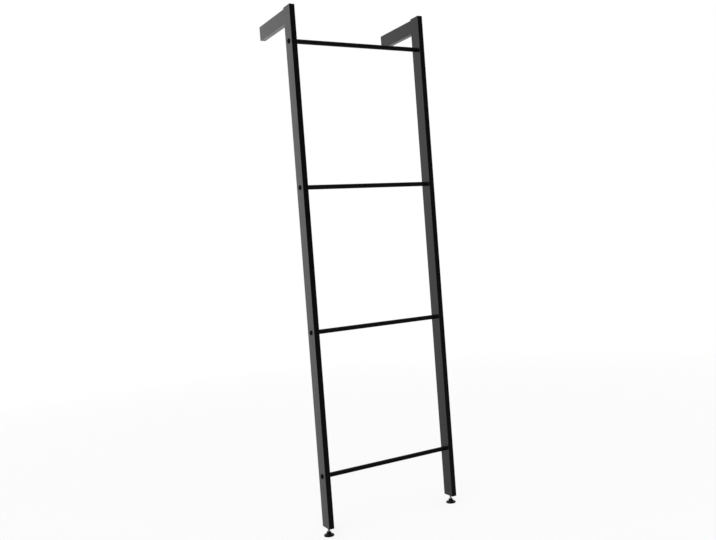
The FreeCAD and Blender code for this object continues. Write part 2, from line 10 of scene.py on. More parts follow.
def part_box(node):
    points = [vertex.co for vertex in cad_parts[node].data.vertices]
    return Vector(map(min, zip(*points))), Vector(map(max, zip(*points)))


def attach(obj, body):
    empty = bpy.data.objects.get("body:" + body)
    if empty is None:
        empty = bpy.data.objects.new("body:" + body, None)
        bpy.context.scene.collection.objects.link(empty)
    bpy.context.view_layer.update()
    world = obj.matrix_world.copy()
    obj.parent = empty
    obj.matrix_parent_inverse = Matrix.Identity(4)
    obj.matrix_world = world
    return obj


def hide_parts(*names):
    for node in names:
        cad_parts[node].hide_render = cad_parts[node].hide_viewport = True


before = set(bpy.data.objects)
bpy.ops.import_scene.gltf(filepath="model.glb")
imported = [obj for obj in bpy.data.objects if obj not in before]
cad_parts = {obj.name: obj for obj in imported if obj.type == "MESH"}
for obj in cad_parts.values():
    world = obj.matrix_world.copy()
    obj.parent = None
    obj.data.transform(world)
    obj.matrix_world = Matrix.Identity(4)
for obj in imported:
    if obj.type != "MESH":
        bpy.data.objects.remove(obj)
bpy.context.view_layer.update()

bl_info = {
    "name": "Towel ladder",
    "version": (1, 0, 0),
    "blender": (4, 5, 0),
    "location": "3D View > Sidebar > Ladder",
    "description": "Dresses the packed towel ladder with its finished pieces and materials, and lights it",
    "category": "Add Mesh",
}

MM = 0.001
# Points nearer to each other than this are one point.
MERGE = 0.001 * MM
# The two halves of the ladder, and the side of X that each is on.
SIDES = {"left": -1, "right": 1}
RUNGS = sorted(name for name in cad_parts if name.startswith("rung_"))

# How finely round shapes are divided.
TURN_STEPS = 96
SMALL_TURN_STEPS = 48
THREAD_STEPS = 36
CORNER_STEPS = 5
SOFT_STEPS = 3
ARC_STEPS = 12
RIPPLE_STEPS = 8
WELD_CUTS = 9
FLOOR_STEPS = 64

# Faces that meet at a smaller angle than the first are shaded as one surface, and an edge over the
# second counts as sharp.
SMOOTH_UNDER = radians(35)
SHARP_OVER = radians(60)

# The band that most of a noise pattern's values fill.
NOISE_LOW = 0.3
NOISE_HIGH = 0.7

# A Mix node's sockets are picked by number, because those of its kinds share their names.
FACTOR, VALUE_A, VALUE_B, COLOUR_A, COLOUR_B = 0, 2, 3, 6, 7
MIXED_VALUE, MIXED_COLOUR = 0, 2

# Width of a full-frame camera's sensor in millimetres, which a lens is measured against.
SENSOR_WIDTH = 36.0


# Colours and sizes that a user would change

def linear(colour):
    """An sRGB hex colour as linear red, green and blue."""
    full = 255
    # The standard's curve has a straight foot and then a power.
    foot_end, foot_slope, offset, power = 0.04045, 12.92, 0.055, 2.4
    parts = (int(colour[place:place + 2], 16) / full for place in (1, 3, 5))
    return tuple(part / foot_slope if part <= foot_end else ((part + offset) / (1 + offset)) ** power
                 for part in parts)


def paint(name, description, colour):
    """A colour property, given as sRGB hex."""
    return FloatVectorProperty(name=name, description=description, default=linear(colour), min=0.0,
                               max=1.0, size=3, subtype="COLOR")


def length(name, description, millimetres):
    """A length property, given in millimetres and held in metres."""
    return FloatProperty(name=name, description=description, default=millimetres * MM, min=0.0,
                         precision=5, unit="LENGTH", subtype="DISTANCE")


def share(name, description, value):
    """A property that is a share from none to all."""
    return FloatProperty(name=name, description=description, default=value, min=0.0, max=1.0,
                         subtype="FACTOR")


class LadderFrameSizes(PropertyGroup):
    """Sizes of the tubes, their welds, the plugs in their ends and the rungs."""
    tube_corner: length("Tube corner", "Outside corner radius of the rectangular tube", 0.8)
    cut_edge: length("Cut edge", "Rounding of a sawn edge once it is coated", 0.3)
    weld_leg: length("Weld leg", "Width of a weld bead on each of the two tubes", 2.6)
    weld_crown: length("Weld crown", "Height of a weld bead over the straight line between its toes", 0.5)
    weld_sunk: length("Weld root", "Depth that a weld reaches into the two tubes", 0.2)
    ripple: length("Weld ripple", "Distance from one ripple of a weld bead to the next", 1.5)
    ripple_high: length("Ripple height", "Height of a ripple of a weld bead", 0.16)
    rung_wall: length("Rung wall", "Wall thickness of a rung's tube", 1.5)
    plug_head: length("Plug head", "Thickness of a plug's head outside the tube", 2.0)
    plug_edge: length("Plug edge", "Rounding of a plug's visible edge", 0.7)
    plug_crown: length("Plug crown", "Rise of the middle of the top plug's head", 0.12)
    crown_margin: length("Crown margin", "Width over which the head's face rises to its crown", 4.0)
    plug_inset: length("Plug inset", "Depth that a plug's core stands back from the tips of its fins", 0.85)
    plug_wall: length("Plug wall", "Wall thickness of a plug's core", 1.8)
    plug_clearance: length("Plug clearance", "Space from a fin's tip to the inside of the tube", 0.1)
    tube_wall: length("Tube wall", "Wall thickness of the rectangular tube", 1.5)
    fin_start: length("First fin", "Distance from a plug's head to its first fin", 3.0)
    fin_thick: length("Fin thickness", "Thickness of a fin at its root", 0.9)
    fin_spacing: length("Fin spacing", "Distance from one fin to the next", 4.5)
    fin_count: IntProperty(name="Fins", description="Number of fins on a plug", default=4, min=1, max=4)
    moulded_edge: length("Moulded edge", "Rounding of a moulded or pressed part's edges", 0.25)


class LadderScrewSizes(PropertyGroup):
    """Sizes of the rung screws and of the smaller screws that clamp the wall brackets."""
    rung_outer: length("Rung screw thread", "Outer diameter of a rung screw's thread", 8.0)
    rung_pitch: length("Rung screw pitch", "Pitch of a rung screw's thread", 1.25)
    rung_flange: length("Rung screw flange", "Diameter of the flange under a rung screw's head", 17.8)
    rung_flange_thick: length("Flange thickness", "Thickness of that flange", 1.4)
    rung_head: length("Rung screw head", "Diameter of a rung screw's domed head", 14.0)
    rung_head_high: length("Rung screw head height", "Height of the head and the flange", 4.4)
    rung_key: length("Rung screw key", "Size of the hexagon key for a rung screw", 5.0)
    rung_key_deep: length("Rung screw key depth", "Depth of that hexagon socket", 2.6)
    clamp_outer: length("Clamp screw thread", "Outer diameter of a clamp screw's thread", 5.0)
    clamp_pitch: length("Clamp screw pitch", "Pitch of a clamp screw's thread", 0.8)
    clamp_head: length("Clamp screw head", "Diameter of a clamp screw's domed head", 9.5)
    clamp_head_high: length("Clamp screw head height", "Height of a clamp screw's head", 2.75)
    clamp_key: length("Clamp screw key", "Size of the hexagon key for a clamp screw", 3.0)
    clamp_key_deep: length("Clamp screw key depth", "Depth of that hexagon socket", 1.6)
    head_rim_share: share("Head rim", "Height of a head's upright rim as a share of its dome's height", 0.22)
    socket_land: length("Socket land", "Width of the flat round a hexagon socket", 0.35)
    socket_lead: length("Socket lead", "Depth of the chamfer into a hexagon socket", 0.3)
    rim_edge: length("Rim edge", "Rounding of a head's and a flange's edges", 0.35)


class LadderFootSizes(PropertyGroup):
    """Sizes of the levelling feet, with heights above the middle of the ball or above the floor."""
    spindle_outer: length("Spindle thread", "Outer diameter of the spindle's thread", 8.0)
    spindle_pitch: length("Spindle pitch", "Pitch of the spindle's thread", 1.25)
    ball_outer: length("Ball", "Diameter of the ball at the spindle's lower end", 11.0)
    ball_height: length("Ball height", "Height of the middle of the ball above the floor", 7.5)
    ball_clearance: length("Ball clearance", "Space round the ball in the pad", 0.15)
    neck_outer: length("Neck", "Diameter of the neck over the ball", 6.5)
    neck_high: length("Neck height", "Top of the neck over the middle of the ball", 7.5)
    spanner_flats: length("Spanner flats", "Size of the spanner for the two flats", 6.5)
    flats_low: length("Flats start", "Lower end of the flats over the middle of the ball", 8.0)
    flats_high: length("Flats end", "Upper end of the flats over the middle of the ball", 12.0)
    collar_edge: length("Collar edge", "Plain stretch of the collar over the flats", 0.3)
    undercut_long: length("Undercut", "Length of the groove between the collar and the thread", 0.9)
    pad_rim: length("Pad rim", "Height of the pad's rim", 4.0)
    pad_rim_round: length("Pad rim rounding", "Rounding of the rim's upper edge", 1.5)
    pad_sole_edge: length("Sole edge", "Rounding of the rim's lower edge", 0.6)
    hub_foot: length("Hub foot", "Diameter of the hub where it rises from the pad", 20.0)
    hub_foot_high: length("Hub foot height", "Height of the pad's upper face at the hub", 4.8)
    hub_foot_round: length("Hub foot rounding", "Rounding of the corner between the pad and its hub", 1.6)
    hub_top: length("Hub top", "Diameter of the hub at its top", 15.0)
    hub_top_round: length("Hub top rounding", "Rounding of the hub's upper edge", 1.6)
    hub_mouth: length("Hub mouth", "Diameter of the opening over the ball", 9.8)


class LadderColours(PropertyGroup):
    """Colours of the finishes, the floor and the backdrop."""
    coat: paint("Powder coat", "Satin black of the tubes and rungs", "#070708")
    coat_thin: paint("Thin powder coat", "The same black where the coat is thinner", "#050506")
    screw: paint("Black screws", "Matte black of the screws", "#040404")
    screw_worn: paint("Black screws, sheen", "Brownish black where the plating is thinner", "#080706")
    zinc_blue: paint("Zinc, blue", "Bright zinc under its bluish clear film", "#C9CDD3")
    zinc_warm: paint("Zinc, warm", "Bright zinc where the clear film turns yellowish", "#D2CFC6")
    nylon: paint("Black polyamide", "Black of the pads and plugs", "#060607")
    # This paler black is painted sheen on the grain's crests, standing in for light that grazes the grain.
    nylon_crest_sheen: paint("Black polyamide, pale", "Greyer black on the crests of the mould's grain", "#0C0C0D")
    floor: paint("Floor", "Colour of the plain pale floor", "#F4F4F4")
    backdrop: paint("Backdrop", "Colour of the plain background", "#FFFFFF")


class LadderStage(PropertyGroup):
    """The floor, the light and the camera."""
    floor_radius: length("Floor radius", "Radius of the round floor", 4000.0)
    floor_clear: share("Floor clearness", "How far the camera sees through the middle of the floor", 0.8)
    front_light: share("Light from the front", "What glossy surfaces see in front of the ladder", 0.01)
    side_light: share("Light from the side", "What glossy surfaces see beside the ladder", 0.16)
    back_light: FloatProperty(name="Light from the back", default=1.3, min=0.0,
                              description="What glossy surfaces see straight behind the ladder")
    rise: share("Rise of the light", "Share by which those three grow from level to straight up", 0.65)
    low_light: share("Light from below", "What glossy surfaces see added towards the floor", 0.07)
    left_box: share("Left soft box", "What glossy surfaces see added far out to the left", 0.7)
    right_box: share("Right soft box", "What glossy surfaces see added far out to the right", 0.6)
    rear_screen: share("Rear screen", "What glossy surfaces see added behind on the right", 0.8)
    floor_pool: share("Lit floor", "What glossy surfaces see added low behind on the right", 0.4)
    fill_light: share("Fill light", "Even light on matte surfaces from all round", 0.75)
    lamp_power: FloatProperty(name="Lamp power", description="Power of the soft lamp over the ladder",
                              default=36.0, min=0.0, unit="POWER")
    lamp_size: length("Lamp size", "Diameter of that lamp", 3000.0)
    lamp_place: FloatVectorProperty(name="Lamp place", description="Where that lamp hangs", size=3,
                                    default=(-1.0, -1.2, 3.6), unit="LENGTH", subtype="XYZ")
    lamp_aim: FloatVectorProperty(name="Lamp aim", description="What that lamp points at", size=3,
                                  default=(0.0, 0.0, 0.6), unit="LENGTH", subtype="XYZ")
    lens: FloatProperty(name="Lens", description="Focal length on a 36 mm sensor", default=39.279, min=1.0,
                        subtype="DISTANCE_CAMERA")
    eye: FloatVectorProperty(name="Camera place", description="Where the camera stands", size=3,
                             default=(-1.41833, -2.53981, 0.98568), unit="LENGTH", subtype="XYZ")
    heading: FloatProperty(name="Heading", description="Camera's turn to the right of straight ahead",
                           default=radians(29.0614), subtype="ANGLE")
    pitch: FloatProperty(name="Pitch", description="Camera's tilt upwards", default=radians(-1.5564),
                         subtype="ANGLE")
    roll: FloatProperty(name="Roll", description="Camera's turn about its own view", default=radians(-4.2862),
                        subtype="ANGLE")


# Materials

def add(tree, kind, sockets, **settings):
    """Adds a node with its settings and gives its outputs.

    A socket is given a value, or another node's output to link.
    """
    node = tree.nodes.new(kind)
    for name, value in settings.items():
        setattr(node, name, value)
    for name, value in sockets.items():
        if isinstance(value, bpy.types.NodeSocket):
            tree.links.new(value, node.inputs[name])
        else:
            node.inputs[name].default_value = value
    return node.outputs


def opaque(colour):
    """A colour with full alpha, as a colour socket takes it."""
    return (*colour, 1.0)


def new_material(name):
    """An empty node material."""
    material = bpy.data.materials.new(name)
    material.use_nodes = True
    material.node_tree.nodes.clear()
    return material


def set_surface(tree, colours, tone, roughness, gloss, relief, depth, sockets):
    """Ends a material's nodes with its surface.

    Three patterns drive it: the tone mixes the two colours, the gloss spreads the roughness between
    its two values, and the relief is pressed to its depth. The sockets are the shader's own settings.
    """
    colour = add(tree, "ShaderNodeMix", {FACTOR: tone, COLOUR_A: opaque(colours[0]),
                                         COLOUR_B: opaque(colours[1])}, data_type="RGBA")
    rough = add(tree, "ShaderNodeMapRange", {"Value": gloss, "From Min": NOISE_LOW, "From Max": NOISE_HIGH,
                                             "To Min": roughness[0], "To Max": roughness[1]})
    bump = add(tree, "ShaderNodeBump", {"Height": relief, "Distance": depth, "Strength": 1.0})
    shader = add(tree, "ShaderNodeBsdfPrincipled", {"Base Color": colour[MIXED_COLOUR],
                                                    "Roughness": rough["Result"],
                                                    "Normal": bump["Normal"], **sockets})
    add(tree, "ShaderNodeOutputMaterial", {"Surface": shader["BSDF"]})


def powder_coated_steel(colours):
    """Polyester powder, sprayed on phosphated steel tube and baked.

    The melted powder levels to a satin film with a shallow orange peel, about 2 mm from crest to
    crest, and a much finer flow texture in it. Light glides along it and shows the peel near highlights.
    """
    peel_size = 2.2 * MM
    peel_high = 0.012 * MM
    flow_size = 0.45 * MM
    flow_share = 0.12
    cloud_size = 35 * MM
    polyester_ior = 1.55
    material = new_material("satin_black_powder_coat")
    tree = material.node_tree
    place = add(tree, "ShaderNodeTexCoord", {})["Object"]
    peel = add(tree, "ShaderNodeTexNoise", {"Vector": place, "Scale": 1 / peel_size, "Detail": 1.5})
    flow = add(tree, "ShaderNodeTexNoise", {"Vector": place, "Scale": 1 / flow_size, "Detail": 1.0})
    cloud = add(tree, "ShaderNodeTexNoise", {"Vector": place, "Scale": 1 / cloud_size, "Detail": 3.0})
    height = add(tree, "ShaderNodeMath", {0: flow["Fac"], 1: flow_share, 2: peel["Fac"]},
                 operation="MULTIPLY_ADD")
    set_surface(tree, (colours.coat_thin, colours.coat), tone=cloud["Fac"],
                roughness=(0.27, 0.33), gloss=cloud["Fac"],
                relief=height["Value"], depth=peel_high, sockets={"IOR": polyester_ior})
    return material


def black_plated_steel(colours):
    """Cold-headed screws, zinc plated black and sealed matte.

    The sealed film soaks up light, so a head reads as a black dot on the satin tube. A faint brown
    cast and a fine grain show only close up.
    """
    grain_size = 0.25 * MM
    grain_high = 0.004 * MM
    cast_size = 5 * MM
    sealed_shine = 0.1
    material = new_material("matte_black_zinc_plated_steel")
    tree = material.node_tree
    place = add(tree, "ShaderNodeTexCoord", {})["Object"]
    grain = add(tree, "ShaderNodeTexNoise", {"Vector": place, "Scale": 1 / grain_size, "Detail": 2.0})
    cast = add(tree, "ShaderNodeTexNoise", {"Vector": place, "Scale": 1 / cast_size, "Detail": 2.0})
    set_surface(tree, (colours.screw, colours.screw_worn), tone=cast["Fac"],
                roughness=(0.5, 0.62), gloss=cast["Fac"],
                relief=grain["Fac"], depth=grain_high, sockets={"Specular IOR Level": sealed_shine})
    return material


def zinc_plated_steel(colours, name, mark_axis, mark_size, mark_high):
    """Steel, turned, cut or rolled, then zinc plated bright under a clear chromate film.

    The film turns from bluish to yellowish over a few millimetres, the zinc's crystals blur the
    reflection a little, and the tool's marks follow one another along an axis.
    """
    crystal_size = 0.3 * MM
    crystal_share = 0.6
    cast_size = 7 * MM
    # A Wave texture of scale 1 repeats at this distance.
    wave_length = pi / 10
    material = new_material(name)
    tree = material.node_tree
    place = add(tree, "ShaderNodeTexCoord", {})["Object"]
    marks = add(tree, "ShaderNodeTexWave", {"Vector": place, "Scale": wave_length / mark_size,
                                            "Distortion": 1.5, "Detail": 2.0, "Detail Scale": 2.0},
                wave_type="BANDS", bands_direction=mark_axis)
    crystals = add(tree, "ShaderNodeTexNoise", {"Vector": place, "Scale": 1 / crystal_size, "Detail": 2.0})
    cast = add(tree, "ShaderNodeTexNoise", {"Vector": place, "Scale": 1 / cast_size, "Detail": 2.0})
    height = add(tree, "ShaderNodeMath", {0: crystals["Fac"], 1: crystal_share, 2: marks["Fac"]},
                 operation="MULTIPLY_ADD")
    set_surface(tree, (colours.zinc_blue, colours.zinc_warm), tone=cast["Fac"],
                roughness=(0.44, 0.56), gloss=crystals["Fac"],
                relief=height["Value"], depth=mark_high, sockets={"Metallic": 1.0})
    return material


def turned_zinc(colours):
    """Zinc plated spindles and nuts, with a turning tool's marks round their upright axis."""
    return zinc_plated_steel(colours, "bright_zinc_on_turned_steel", mark_axis="Z", mark_size=0.25 * MM,
                             mark_high=0.003 * MM)


def bar_zinc(colours):
    """Zinc plated sleeves and inserts, cut from bar that lies across the ladder."""
    return zinc_plated_steel(colours, "bright_zinc_on_cut_bar", mark_axis="X", mark_size=0.25 * MM,
                             mark_high=0.003 * MM)


def sheet_zinc(colours):
    """Zinc plated brackets, bent from rolled sheet with its rolling lines along the arm."""
    return zinc_plated_steel(colours, "bright_zinc_on_rolled_sheet", mark_axis="Z", mark_size=0.8 * MM,
                             mark_high=0.002 * MM)


def moulded_polyamide(colours):
    """Black polyamide, injection moulded in a spark-eroded mould.

    The mould prints a fine matt grain, about 0.4 mm across. The grey that light grazing it gives the
    black is painted sheen: a paler colour on the grain's crests. The gloss wanders slowly where the
    melt cooled at different rates.
    """
    grain_size = 0.4 * MM
    grain_high = 0.012 * MM
    crests_start, crests_full = 0.4, 0.65
    flow_size = 8 * MM
    polyamide_ior = 1.53
    matt_shine = 0.3
    material = new_material("moulded_black_polyamide")
    tree = material.node_tree
    place = add(tree, "ShaderNodeTexCoord", {})["Object"]
    grain = add(tree, "ShaderNodeTexNoise", {"Vector": place, "Scale": 1 / grain_size, "Detail": 3.0,
                                             "Roughness": 0.6})
    flow = add(tree, "ShaderNodeTexNoise", {"Vector": place, "Scale": 1 / flow_size, "Detail": 2.0})
    # The paler colour on the grain's crests is painted sheen, standing in for light that grazes the grain.
    crests = add(tree, "ShaderNodeMapRange", {"Value": grain["Fac"], "From Min": crests_start,
                                              "From Max": crests_full})
    set_surface(tree, (colours.nylon, colours.nylon_crest_sheen), tone=crests["Result"],
                roughness=(0.55, 0.65), gloss=flow["Fac"],
                relief=grain["Fac"], depth=grain_high,
                sockets={"IOR": polyamide_ior, "Specular IOR Level": matt_shine})
    return material


FINISHES = {}


def finish(kind, scene):
    """The material of a kind, made the first time that a piece asks for it."""
    if kind not in FINISHES:
        FINISHES[kind] = kind(scene.ladder_colours)
    return FINISHES[kind]


# Shapes

class Outline:
    """Half of a turned piece's section, drawn in the XZ plane with X as the radius."""

    def __init__(self, radius, height):
        self.shape = bmesh.new()
        self.start = self.shape.verts.new((radius, 0.0, height))
        self.end = self.start
        self.soft_corners = []

    def line(self, radius, height, soft=0.0):
        """Draws a straight stretch. The corner at its far end is rounded by soft once all is drawn."""
        corner = self.shape.verts.new((radius, 0.0, height))
        self.shape.edges.new((self.end, corner))
        self.end = corner
        if soft:
            self.soft_corners.append((corner, soft))
        return self

    def arc(self, radius, height, angle):
        """Draws an arc about a centre, upwards and inwards where the angle is positive."""
        turned = bmesh.ops.spin(self.shape, geom=[self.end], cent=(radius, 0.0, height),
                                axis=(0.0, -1.0, 0.0), angle=angle, steps=ARC_STEPS, use_merge=False)
        self.end = verts_of(turned["geom_last"])[0]
        return self

    def close(self):
        """Joins the end to the start."""
        self.shape.edges.new((self.end, self.start))
        return self

    def turned(self, steps):
        """Rounds the soft corners and spins the outline a full turn about the Z axis."""
        for corner, soft in self.soft_corners:
            bmesh.ops.bevel(self.shape, geom=[corner], offset=soft, offset_type="OFFSET", affect="VERTICES",
                            segments=CORNER_STEPS, profile=0.5, material=-1, clamp_overlap=True)
        bmesh.ops.spin(self.shape, geom=self.shape.verts[:] + self.shape.edges[:], cent=(0.0, 0.0, 0.0),
                       axis=(0.0, 0.0, 1.0), angle=2 * pi, steps=steps, use_merge=True)
        bmesh.ops.remove_doubles(self.shape, verts=self.shape.verts, dist=MERGE)
        return self.shape


def verts_of(items):
    """The points among a mix of points, edges and faces."""
    return [item for item in items if isinstance(item, bmesh.types.BMVert)]


def open_edges(shape, height):
    """The loose and open edges of a shape that lie at a height."""
    return [edge for edge in shape.edges
            if len(edge.link_faces) < 2 and all(abs(vert.co.z - height) < MERGE for vert in edge.verts)]


def thread_root(outer, pitch):
    """The radius at the bottom of a metric thread."""
    metric_depth_share = 0.6134
    return outer / 2 - metric_depth_share * pitch


def add_thread(shape, outer, pitch, low, high):
    """Adds an open right-hand thread to a shape, with both its ends turned down to the root."""
    crest = outer / 2
    root = thread_root(outer, pitch)
    # One pitch of a metric thread: a flat crest of an eighth, a flat root of a quarter, and its flanks.
    section_shares = ((crest, 0.0), (crest, 0.125), (root, 0.4375), (root, 0.6875), (crest, 1.0))
    start = low - pitch
    turn = bmesh.new()
    points = [turn.verts.new((radius, 0.0, start + part * pitch)) for radius, part in section_shares]
    edges = [turn.edges.new(pair) for pair in zip(points, points[1:])]
    bmesh.ops.spin(turn, geom=points + edges, cent=(0.0, 0.0, 0.0), axis=(0.0, 0.0, 1.0),
                   dvec=(0.0, 0.0, pitch / THREAD_STEPS), angle=2 * pi, steps=THREAD_STEPS, use_merge=False)
    turns = ceil((high - start) / pitch) + 1
    thread = copies(turn, [Matrix.Translation((0.0, 0.0, number * pitch)) for number in range(turns)])
    bmesh.ops.remove_doubles(thread, verts=thread.verts, dist=MERGE)
    on_plane = MERGE / 10
    for height, outwards in ((low, -1.0), (high, 1.0)):
        bmesh.ops.bisect_plane(thread, geom=thread.verts[:] + thread.edges[:] + thread.faces[:],
                               dist=on_plane, plane_co=(0.0, 0.0, height), plane_no=(0.0, 0.0, outwards),
                               clear_outer=True)
    for vert in thread.verts:
        radius = hypot(vert.co.x, vert.co.y)
        allowed = root + min(vert.co.z - low, high - vert.co.z)
        if radius > allowed:
            vert.co.x *= allowed / radius
            vert.co.y *= allowed / radius
    take_over(shape, thread)


def take_over(shape, other):
    """Moves all of another shape into a shape."""
    mesh = bpy.data.meshes.new("other")
    other.to_mesh(mesh)
    other.free()
    shape.from_mesh(mesh)
    bpy.data.meshes.remove(mesh)


def cap(shape, height):
    """Closes the opening of a shape at a height."""
    bmesh.ops.holes_fill(shape, edges=open_edges(shape, height), sides=0)


def hexagon_corner(key):
    """How far a hexagon's corners lie from its middle, for the size of its key."""
    return key / sqrt(3)


def button_screw(sizes, outer, pitch, shank, head, head_high, key, key_deep, flange=0.0, flange_thick=0.0):
    """A threaded screw with a domed head and a hexagon socket, its seat at zero and its head upwards."""
    root = thread_root(outer, pitch)
    # A plain neck lies under the head, and the thread starts a short step below it.
    neck_end = -pitch
    thread_start = neck_end - pitch / 4
    dome_high = head_high - flange_thick
    rim = flange_thick + sizes.head_rim_share * dome_high
    land = hexagon_corner(key) + sizes.socket_land
    # The dome is part of a ball that passes through the top of the rim and the edge of the land.
    centre = ((head / 2) ** 2 + rim ** 2 - land ** 2 - head_high ** 2) / (2 * (rim - head_high))
    sweep = atan2(head_high - centre, land) - atan2(rim - centre, head / 2)
    outline = Outline(root, neck_end).line(root, -sizes.rim_edge).line(root + sizes.rim_edge, 0.0)
    if flange:
        outline.line(flange / 2, 0.0, sizes.rim_edge).line(flange / 2, flange_thick, sizes.rim_edge)
        outline.line(head / 2, flange_thick)
    else:
        outline.line(head / 2, 0.0, sizes.rim_edge)
    outline.line(head / 2, rim).arc(0.0, centre, sweep)
    shape = outline.turned(SMALL_TURN_STEPS)
    add_hexagon_socket(shape, key, key_deep, head_high, sizes.socket_lead)
    add_thread(shape, outer, pitch, -shank, thread_start)
    bmesh.ops.bridge_loops(shape, edges=open_edges(shape, neck_end) + open_edges(shape, thread_start))
    cap(shape, -shank)
    return shape


def add_hexagon_socket(shape, key, deep, height, lead):
    """Sinks a hexagon socket with a drilled foot into the open top of a turned shape."""
    drill_foot_share = 0.15
    corners = 6
    ring = bmesh.ops.create_circle(shape, segments=corners, radius=hexagon_corner(key), cap_ends=False,
                                   matrix=Matrix.Translation((0.0, 0.0, height - lead)))["verts"]
    sides = list({edge for vert in ring for edge in vert.link_edges})
    bmesh.ops.subdivide_edges(shape, edges=sides, cuts=SMALL_TURN_STEPS // corners - 1)
    rim = open_edges(shape, height)
    bmesh.ops.bridge_loops(shape, edges=rim + open_edges(shape, height - lead))
    walls = bmesh.ops.extrude_edge_only(shape, edges=open_edges(shape, height - lead))["geom"]
    foot = verts_of(walls)
    bmesh.ops.translate(shape, vec=(0.0, 0.0, lead - deep), verts=foot)
    cap(shape, height - deep)
    floor = [face for face in shape.faces if all(vert in foot for vert in face.verts)]
    middle = bmesh.ops.poke(shape, faces=floor)["verts"]
    bmesh.ops.translate(shape, vec=(0.0, 0.0, -drill_foot_share * key), verts=middle)


def copies(single, places):
    """One shape that holds a copy of a shape at each place."""
    mesh = bpy.data.meshes.new("single")
    single.to_mesh(mesh)
    single.free()
    whole = bmesh.new()
    for place in places:
        start = len(whole.verts)
        whole.from_mesh(mesh)
        whole.verts.ensure_lookup_table()
        bmesh.ops.transform(whole, matrix=place, verts=whole.verts[start:])
    bpy.data.meshes.remove(mesh)
    return whole


def middle_at(node, height):
    """The point at a height over or under the middle of a CAD node."""
    low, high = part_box(node)
    return Vector(((low.x + high.x) / 2, (low.y + high.y) / 2, height))


def merged_copy(node):
    """A CAD node's shape with its loose triangles merged and its flat faces whole."""
    flat_under = radians(0.2)
    shape = bmesh.new()
    shape.from_mesh(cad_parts[node].data)
    bmesh.ops.remove_doubles(shape, verts=shape.verts, dist=MERGE)
    bmesh.ops.dissolve_limit(shape, angle_limit=flat_under, use_dissolve_boundaries=False, verts=shape.verts,
                             edges=shape.edges, delimit={"NORMAL"})
    return shape


def soften(shape, edges, width, steps=SOFT_STEPS):
    """Rounds the given edges of a shape."""
    bmesh.ops.bevel(shape, geom=edges, offset=width, offset_type="OFFSET", affect="EDGES", segments=steps,
                    profile=0.5, material=-1, clamp_overlap=True)


def sharp_edges(shape):
    """The closed edges of a shape where its faces meet sharply."""
    return [edge for edge in shape.edges if edge.is_manifold and edge.calc_face_angle() > SHARP_OVER]


def finish_piece(shape, name, body, slot, material, *replaced):
    """Makes a finished shape an object that rides on a body and stands for CAD nodes."""
    bmesh.ops.recalc_face_normals(shape, faces=shape.faces)
    mesh = bpy.data.meshes.new(name)
    shape.to_mesh(mesh)
    shape.free()
    mesh.shade_smooth()
    mesh.set_sharp_from_angle(angle=SMOOTH_UNDER)
    mesh.materials.append(material)
    piece = bpy.data.objects.new(name, mesh)
    bpy.context.scene.collection.objects.link(piece)
    evened = piece.modifiers.new("even_shading", "WEIGHTED_NORMAL")
    evened.keep_sharp = True
    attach(piece, body)
    if replaced:
        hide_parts(*replaced)


def coat_node(node, material):
    """Gives a CAD node that stays as it is a better material."""
    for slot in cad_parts[node].material_slots:
        slot.link = "OBJECT"
        slot.material = material


# Pieces

class LADDER_OT_tubes(Operator):
    """Coat the uprights and arms, and round their sawn ends"""
    bl_idname = "ladder.tubes"
    bl_label = "Uprights and arms"

    def execute(self, context):
        sizes = context.scene.ladder_frame_sizes
        coat = finish(powder_coated_steel, context.scene)
        for side in SIDES:
            for part, axis in (("upright", 2), ("arm", 1)):
                node = f"{side}_{part}"
                low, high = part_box(node)
                # An arm's front end is welded, so only its wall end is rounded.
                ends = (high[axis],) if part == "arm" else (low[axis], high[axis])
                shape = merged_copy(node)
                rims = [edge for edge in sharp_edges(shape)
                        if any(all(abs(vert.co[axis] - end) < MERGE for vert in edge.verts) for end in ends)]
                soften(shape, rims, sizes.cut_edge)
                finish_piece(shape, f"{node}_tube", "frame", "powder_coat", coat, node)
        return {"FINISHED"}


def weld_bead(sizes, span, low_side):
    """A rippled fillet along X, centred on zero, in the corner between +Y and the given side of Z."""
    leg = sizes.weld_leg
    steps = round(span / sizes.ripple) * RIPPLE_STEPS
    # The section's toes lie on the two tubes, and its root lies in them.
    outline = ((-sizes.weld_sunk, -sizes.weld_sunk), (leg, -sizes.weld_sunk), (leg, 0.0), (0.0, leg),
               (-sizes.weld_sunk, leg))
    shape = bmesh.new()
    points = [shape.verts.new((-span / 2, along, up)) for along, up in outline]
    section = shape.faces.new(points)
    slope = shape.edges.get((points[2], points[3]))
    bmesh.ops.subdivide_edges(shape, edges=[slope], cuts=WELD_CUTS)
    for _ in range(steps):
        moved = bmesh.ops.extrude_discrete_faces(shape, faces=[section])
        section = moved["faces"][0]
        bmesh.ops.translate(shape, vec=(span / steps, 0.0, 0.0), verts=section.verts)
    bmesh.ops.holes_fill(shape, edges=[edge for edge in shape.edges if edge.is_boundary], sides=0)
    for vert in shape.verts:
        shape_weld_point(vert, sizes, span)
    bmesh.ops.scale(shape, vec=(1.0, 1.0, low_side), verts=shape.verts)
    return shape


def shape_weld_point(vert, sizes, span):
    """Bulges, ripples and tapers one point of a weld bead's face."""
    leg = sizes.weld_leg
    outwards = (vert.co.y + vert.co.z) / leg - 1
    if outwards < -MERGE:
        return
    across = vert.co.y / leg
    # Nought at the bead's two toes and one halfway between them.
    middle = 4 * across * (1 - across)
    bow = sizes.ripple * middle
    ripple = abs(sin(pi * (vert.co.x + bow) / sizes.ripple))
    from_end = min(1.0, (span / 2 - abs(vert.co.x)) / leg)
    taper = sqrt(max(0.0, 1 - (1 - from_end) ** 2))
    lift = (sizes.weld_crown + sizes.ripple_high * ripple) * middle
    vert.co.y = (vert.co.y + lift / sqrt(2)) * taper
    vert.co.z = (vert.co.z + lift / sqrt(2)) * taper


